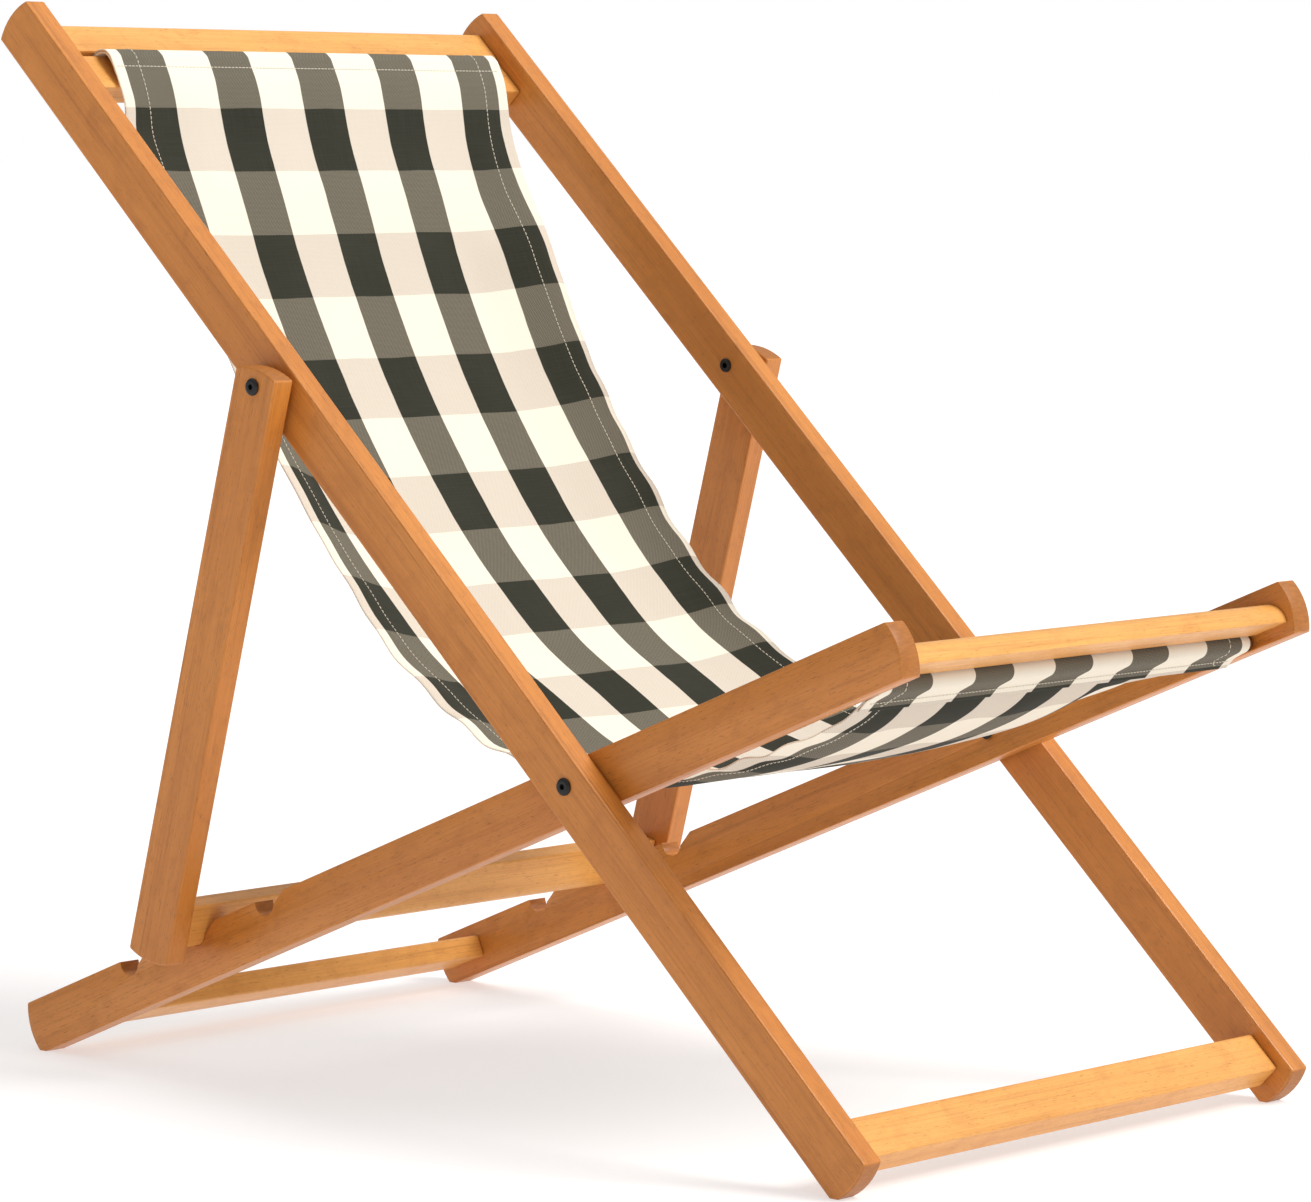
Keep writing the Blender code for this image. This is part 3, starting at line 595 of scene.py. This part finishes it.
# ----------------------------------------------------------- cloth and thread
def canvas():
    """Warp-faced cotton canvas in a check: stripes along it are the warp, bands across it the weft."""
    m = Nodes("sling_canvas")
    uvm = m.add("ShaderNodeUVMap", uv_map="flat")
    uv = m.xyz(uvm.outputs[0])
    u, v = uv[0], uv[1]

    # a thread or two of wander on every colour change
    wob = m.noise(m.vec(m.math("MULTIPLY", u, 30.0), m.math("MULTIPLY", v, 30.0), 0.0), 1.0, 2.0)
    wander = m.math("MULTIPLY", m.math("SUBTRACT", wob, 0.5), 0.0016)
    au = m.math("ADD", m.math("ABSOLUTE", u), wander)
    # dark warp: a centre stripe, then one every 94.3 mm; the selvedge beyond is cream
    STRIPES = ((-1.0, 0.0228), (0.0716, 0.1171), (0.1659, 0.2114))
    edge = 0.00025
    dark = None
    for a, b in STRIPES:
        s = m.math("MULTIPLY", m.remap(au, a - edge, a + edge), m.remap(au, b - edge, b + edge, 1.0, 0.0))
        dark = s if dark is None else m.math("ADD", dark, s, clamp=True)
    hem_dark = m.remap(au, 0.2415, 0.2420)
    dark = m.math("ADD", dark, hem_dark, clamp=True)
    # weft bands: 53.2 mm light, 53.2 mm dark
    vb = m.math("ADD", v, m.math("ADD", -0.0105, m.math("MULTIPLY", wander, 0.8)))
    band = m.math("PINGPONG", m.math("SUBTRACT", vb, 0.0266), 0.0532)
    weft_dark = m.remap(band, 0.0266 - edge, 0.0266 + edge)

    # threads: warp ribs along v, weft showing between them
    pitch_u, pitch_v = 0.00085, 0.00105
    wu = m.math("MULTIPLY", u, math.pi / pitch_u)
    wv = m.math("MULTIPLY", v, math.pi / pitch_v)
    su, sv = m.math("SINE", wu), m.math("SINE", wv)
    over = m.math("MULTIPLY", su, sv)                          # +1 warp on top, -1 weft on top
    show = m.remap(over, -0.30, -0.75)                         # weft seen as small dots
    slub = m.noise(m.vec(m.math("MULTIPLY", u, 900.0), m.math("MULTIPLY", v, 22.0), 0.0), 1.0, 2.0)
    slub2 = m.noise(m.vec(m.math("MULTIPLY", u, 20.0), m.math("MULTIPLY", v, 800.0), 3.0), 1.0, 2.0)
    cloud = m.noise(m.vec(m.math("MULTIPLY", u, 9.0), m.math("MULTIPLY", v, 9.0), 1.0), 1.0, 3.0)

    charcoal, cream = (0.023, 0.025, 0.017), (0.90, 0.845, 0.715)
    taupe, greige = (0.138, 0.122, 0.088), (0.690, 0.610, 0.515)
    light_band = m.mix(dark, cream, taupe)
    dark_band = m.mix(dark, greige, charcoal)
    mean = m.mix(weft_dark, light_band, dark_band)
    warp = m.mix(dark, cream, charcoal)
    weft = m.mix(weft_dark, cream, charcoal)
    thread = m.mix(show, warp, weft)
    tone = m.mix(0.22, mean, thread)
    tone = m.mix(m.math("MULTIPLY", m.remap(slub, 0.35, 0.75), 0.035), tone, (0.25, 0.22, 0.18))
    tone = m.mix(m.math("MULTIPLY", m.remap(slub2, 0.35, 0.75), 0.025), tone, (0.28, 0.25, 0.2))
    tone = m.mix(m.math("MULTIPLY", m.remap(cloud, 0.3, 0.8), 0.03), tone, (0.42, 0.38, 0.31))
    height = m.math("ADD", m.math("MULTIPLY", m.math("ABSOLUTE", su), 0.7), m.math("MULTIPLY", over, 0.35))
    height = m.math("ADD", height, m.math("MULTIPLY", slub, 0.6))
    rough = m.math("ADD", 0.80, m.math("MULTIPLY", slub, 0.14))
    m.base(Base_Color=tone, Roughness=rough, Sheen_Weight=0.03, Sheen_Roughness=0.5)
    m.bsdf.inputs["Specular IOR Level"].default_value = 0.12
    m.bump(height, 0.00012, 0.5)
    return m.mat


def thread():
    m = Nodes("cream_thread")
    tc = m.add("ShaderNodeTexCoord")
    twist = m.noise(tc.outputs["Object"], 2600.0, 2.0)
    tone = m.mix(twist, (0.62, 0.55, 0.43), (0.88, 0.83, 0.70))
    m.base(Base_Color=tone, Roughness=m.math("ADD", 0.62, m.math("MULTIPLY", twist, 0.2)), Sheen_Weight=0.15)
    m.bump(twist, 0.00008, 0.5)
    return m.mat


sling.data.materials.append(canvas())
seams.data.materials.append(thread())

# the seat rails again, with the flat sides filled afresh round the notches
for name in ("seat_rail_left", "seat_rail_right"):
    node = bpy.data.objects[name]
    bm = bmesh.new()
    bm.from_mesh(node.data)
    bm.transform(node.matrix_world)
    bmesh.ops.remove_doubles(bm, verts=bm.verts, dist=2e-6)
    sign = -1.0 if name.endswith("left") else 1.0
    for x, way in ((0.247 * sign, sign), (0.227 * sign, -sign)):
        flat = [f for f in bm.faces if all(abs(v.co.x - x) < 1e-5 for v in f.verts)]
        bmesh.ops.delete(bm, geom=flat, context="FACES")
        rim = [e for e in bm.edges if e.is_boundary and all(abs(v.co.x - x) < 1e-5 for v in e.verts)]
        bmesh.ops.triangle_fill(bm, use_beauty=True, use_dissolve=False, edges=rim, normal=(way, 0.0, 0.0))
        for f in bm.faces:
            if all(abs(v.co.x - x) < 1e-5 for v in f.verts) and f.normal.x * way < 0:
                f.normal_flip()
    mesh = bpy.data.meshes.new(name + "_timber")
    bm.to_mesh(mesh)
    bm.free()
    mesh.shade_smooth()
    mesh.set_sharp_from_angle(angle=math.radians(30))
    mesh.materials.append(node.material_slots[0].material)
    rail = bpy.data.objects.new(name + "_timber", mesh)
    bpy.context.scene.collection.objects.link(rail)
    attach(rail, "seat_frame")
    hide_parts(name)

for ob in (sling, seams):
    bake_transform(ob)
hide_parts("sling")

# ------------------------------------------------------------ floor and light
bpy.ops.mesh.primitive_plane_add(size=60)
floor = bpy.context.object
floor.name = "floor"
fm = Nodes("floor_paper")
ftc = fm.add("ShaderNodeTexCoord")
fn = fm.noise(ftc.outputs["Object"], 1.1, 2.0)
fm.base(Base_Color=fm.mix(fn, (0.50, 0.49, 0.49), (0.52, 0.51, 0.51)), Roughness=0.95)
fm.bsdf.inputs["Emission Color"].default_value = (1.0, 0.985, 0.985, 1)
fm.bsdf.inputs["Emission Strength"].default_value = 0.56
fm.bsdf.inputs["Specular IOR Level"].default_value = 0.1
floor.data.materials.append(fm.mat)

scene = bpy.context.scene
scene.view_settings.view_transform = "Standard"
world = bpy.data.worlds.new("studio")
scene.world = world
world.use_nodes = True
wt = world.node_tree
wt.nodes.clear()
out = wt.nodes.new("ShaderNodeOutputWorld")
seen = wt.nodes.new("ShaderNodeBackground")
seen.inputs[0].default_value = (1, 1, 1, 1)
seen.inputs[1].default_value = 1.0
lit = wt.nodes.new("ShaderNodeBackground")
lit.inputs[0].default_value = (1.0, 0.985, 0.965, 1)
lit.inputs[1].default_value = 0.42
path_node = wt.nodes.new("ShaderNodeLightPath")
pick = wt.nodes.new("ShaderNodeMixShader")
wt.links.new(path_node.outputs["Is Camera Ray"], pick.inputs[0])
wt.links.new(lit.outputs[0], pick.inputs[1])
wt.links.new(seen.outputs[0], pick.inputs[2])
wt.links.new(pick.outputs[0], out.inputs[0])


def sun(name, towards, power, angle, colour=(1, 1, 1)):
    data = bpy.data.lights.new(name, "SUN")
    data.energy = power
    data.angle = math.radians(angle)
    data.color = colour
    ob = bpy.data.objects.new(name, data)
    ob.rotation_mode = "QUATERNION"
    ob.rotation_quaternion = Vector(towards).to_track_quat("Z", "Y")
    scene.collection.objects.link(ob)
    return ob


sun("key", (0.34, -0.62, 0.80), 2.75, 32, (1.0, 0.985, 0.96))
sun("top", (0.1, 0.25, 1.0), 0.55, 70)

# --------------------------------------------------------------------- camera
cam = bpy.data.cameras.new("camera")
cam_ob = bpy.data.objects.new("camera", cam)
scene.collection.objects.link(cam_ob)
view = Matrix(((0.64849672, -0.76107137, 0.01491236), (0.06103148, 0.07151106, 0.99557085),
               (-0.75876687, -0.64471431, 0.092824))).transposed().to_4x4()
view.translation = (-3.26079, -2.775293, 0.76656)
cam_ob.matrix_world = view
cam.sensor_width = 36.0
cam.lens = 5639.79 / 1311 * 36
cam.clip_start = 0.05
cam.clip_end = 60.0
scene.camera = cam_ob
